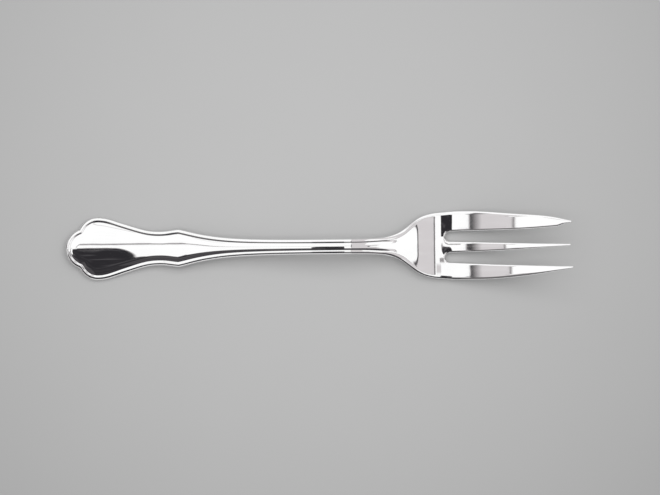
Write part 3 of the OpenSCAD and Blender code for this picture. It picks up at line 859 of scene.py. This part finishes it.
def degrees_from_zenith(tree, side, up):
    """Tilt of a direction to one side: twice the tilt of metal that mirrors it straight up."""
    half_tilt = calculate(tree, "ARCTAN2", side, calculate(tree, "ADD", up, 1))
    return calculate(tree, "MULTIPLY", half_tilt, math.degrees(2))


def streaks(tree, x, y):
    """How far the noise that makes the streaks is above its threshold at x, y degrees."""
    place = new_node(tree, "ShaderNodeCombineXYZ",
                     X=calculate(tree, "MULTIPLY", x, STREAKS_ALONG),
                     Y=calculate(tree, "MULTIPLY", y, STREAKS_ACROSS))
    streak = noise(tree, place.outputs[0], 1, STREAK_DETAIL).outputs["Fac"]
    return calculate(tree, "MAXIMUM", calculate(tree, "SUBTRACT", streak, STREAK_THRESHOLD), 0)


def mirrored_room(tree):
    """Level of the surroundings in each direction, as the metal mirrors them."""
    split = new_node(tree, "ShaderNodeSeparateXYZ",
                     Vector=tree.nodes.new("ShaderNodeTexCoord").outputs["Generated"])
    dx, dy, dz = split.outputs
    x = degrees_from_zenith(tree, dx, dz)
    y = degrees_from_zenith(tree, dy, dz)
    level = WHITE
    for panel in PANELS:
        distance = panel_distance(tree, x, y, panel)
        if panel.rim:
            level = paint(tree, level, distance, panel.rim / 2, panel.blur, RIM)
        level = paint(tree, level, distance, -panel.rim / 2, panel.blur, panel.level)
    return calculate(tree, "MULTIPLY_ADD", streaks(tree, x, y), STREAK_LEVEL, level)


def room_colour(tree, level):
    """Colour of the surroundings: a touch of purple in the dark, of pink in the grey, then none."""
    share = calculate(tree, "DIVIDE", level, UNTINTED_LEVEL, clamp=True)
    colour = new_node(tree, "ShaderNodeValToRGB", Fac=share)
    ramp = colour.color_ramp
    ramp.elements[0].color = DARK_TINT
    ramp.elements[1].color = UNTINTED
    for level_share in (GREY_TINT_SHARE, LIGHT / UNTINTED_LEVEL):
        ramp.elements.new(level_share).color = GREY_TINT
    return colour.outputs["Color"]


# Plain level of the world's light on the floor, and the level of what lies behind the floor
WORLD_LEVEL = 0.5
BACKDROP_LEVEL = 0.37
# Where a Mix node in colour mode has its two colours and its result
MIX_FIRST_COLOUR = 6
MIX_SECOND_COLOUR = 7
MIX_RESULT_COLOUR = 2


def make_world():
    """Plain world light, a pale backdrop for the camera, and the room that the metal mirrors."""
    world = bpy.data.worlds.new("studio")
    bpy.context.scene.world = world
    world.use_nodes = True
    tree = world.node_tree
    tree.nodes.clear()
    rays = tree.nodes.new("ShaderNodeLightPath")
    level = mirrored_room(tree)
    plain = new_node(tree, "ShaderNodeMix", Factor=rays.outputs["Is Camera Ray"],
                     A=WORLD_LEVEL, B=BACKDROP_LEVEL)
    strength = new_node(tree, "ShaderNodeMix", Factor=rays.outputs["Is Glossy Ray"],
                        A=plain.outputs[0], B=level)
    colour = tree.nodes.new("ShaderNodeMix")
    colour.data_type = "RGBA"
    tree.links.new(rays.outputs["Is Glossy Ray"], colour.inputs[0])
    colour.inputs[MIX_FIRST_COLOUR].default_value = UNTINTED
    tree.links.new(room_colour(tree, level), colour.inputs[MIX_SECOND_COLOUR])
    background = new_node(tree, "ShaderNodeBackground", Strength=strength.outputs[0],
                          Color=colour.outputs[MIX_RESULT_COLOUR])
    output = tree.nodes.new("ShaderNodeOutputWorld")
    tree.links.new(background.outputs[0], output.inputs["Surface"])


# The pale surface under the fork, with a painted light falloff: lightest near the fork and a little
# darker all round. Far away it keeps a share of its grey, which the blend reaches without a visible
# ring.
FLOOR_SIDE = 6.0
FLOOR_ROUGHNESS = 0.9
FLOOR_GREY = 0.52
FLOOR_GREY_STEP = 0.004
PAINTED_FALLOFF_FAR_SHARE = 0.7
PAINTED_FALLOFF_BLEND = 0.25
PAINTED_LIGHT_CENTRE = (0.0, 0.02, 0.0)
PAINTED_FALLOFF_RADIUS = 0.29
MOTTLE_PER_METRE = 40
MOTTLE_DETAIL = 2


def pale_floor():
    """A matt pale grey with a barely visible mottle, and painted light that darkens it away from
    the fork.
    """
    material = bpy.data.materials.new("pale_floor")
    material.use_nodes = True
    tree = material.node_tree
    shader = tree.nodes["Principled BSDF"]
    shader.inputs["Roughness"].default_value = FLOOR_ROUGHNESS
    shader.inputs["Specular IOR Level"].default_value = 0.0
    place = tree.nodes.new("ShaderNodeTexCoord").outputs["Object"]
    mottle = noise(tree, place, MOTTLE_PER_METRE, MOTTLE_DETAIL)
    grey = new_node(tree, "ShaderNodeMapRange", Value=mottle.outputs["Fac"],
                    To_Min=FLOOR_GREY - FLOOR_GREY_STEP, To_Max=FLOOR_GREY + FLOOR_GREY_STEP)
    # Painted light falloff: the grey is darkened with the distance from the painted light's centre
    away = tree.nodes.new("ShaderNodeVectorMath")
    away.operation = "DISTANCE"
    tree.links.new(place, away.inputs[0])
    away.inputs[1].default_value = PAINTED_LIGHT_CENTRE
    painted_falloff_radius_share = calculate(tree, "DIVIDE", away.outputs["Value"], PAINTED_FALLOFF_RADIUS)
    painted_falloff = calculate(tree, "SUBTRACT", 1, calculate(tree, "POWER", painted_falloff_radius_share, 2))
    level = calculate(tree, "MULTIPLY", grey.outputs[0],
                      calculate(tree, "SMOOTH_MAX", painted_falloff, PAINTED_FALLOFF_FAR_SHARE, PAINTED_FALLOFF_BLEND))
    colour = new_node(tree, "ShaderNodeCombineColor", Red=level, Green=level, Blue=level)
    tree.links.new(colour.outputs[0], shader.inputs["Base Color"])
    return material


def make_floor():
    """A large plain floor."""
    half = FLOOR_SIDE / 2
    corners = [(-half, -half, 0), (half, -half, 0), (half, half, 0), (-half, half, 0)]
    mesh = bpy.data.meshes.new("floor")
    mesh.from_pydata(corners, [], [(0, 1, 2, 3)])
    mesh.materials.append(pale_floor())
    floor = bpy.data.objects.new("floor", mesh)
    bpy.context.scene.collection.objects.link(floor)


# The soft lamp above and a little beyond the fork: its middle, its aim and its sides in metres,
# and its power in watts
LAMP_AT = (0.0, 0.26, 0.96)
LAMP_AIM = (0.0, 0.0, 0.0)
LAMP_SIDES = (1.6, 1.15)
LAMP_POWER = 8.4


def turn_to(place, aim):
    """Rotation that points an object's -Z axis from its place to its aim, with +Y up."""
    direction = Vector(aim) - Vector(place)
    return direction.to_track_quat("-Z", "Y").to_euler()


def make_lamp():
    """A wide soft lamp whose shadow falls towards the viewer's side of the fork."""
    light = bpy.data.lights.new("soft_lamp", "AREA")
    light.shape = "RECTANGLE"
    light.size, light.size_y = LAMP_SIDES
    light.energy = LAMP_POWER
    lamp = bpy.data.objects.new("soft_lamp", light)
    lamp.location = LAMP_AT
    lamp.rotation_euler = turn_to(LAMP_AT, LAMP_AIM)
    lamp.visible_glossy = False
    bpy.context.scene.collection.objects.link(lamp)


# The camera looks straight down. The photograph's frame is 660 by 495 pixels, and in it the
# fork runs from 65.5 to 573 pixels, turned a little, with its middle line just above the centre.
# Lengths are in metres, the turn in degrees, and a pixel is measured on the floor.
FRAME_WIDTH = 660
CAMERA_HEIGHT = 0.7
PIXEL = 0.2987e-3
CAMERA_X = 3.72e-3
CAMERA_Y = -0.245e-3
CAMERA_TURN = -0.567
# Blender's sensor width in millimetres, in which the lens is given too
SENSOR = 36.0


def make_camera():
    """A camera that shows the fork where the photograph shows it."""
    data = bpy.data.cameras.new("camera")
    data.sensor_width = SENSOR
    data.lens = SENSOR * CAMERA_HEIGHT / (FRAME_WIDTH * PIXEL)
    camera = bpy.data.objects.new("camera", data)
    camera.location = (CAMERA_X, CAMERA_Y, CAMERA_HEIGHT)
    camera.rotation_euler = (0, 0, math.radians(CAMERA_TURN))
    bpy.context.scene.collection.objects.link(camera)
    bpy.context.scene.camera = camera


make_fork(polished_metal())
make_floor()
make_world()
make_lamp()
make_camera()
bpy.context.scene.view_settings.view_transform = "Standard"
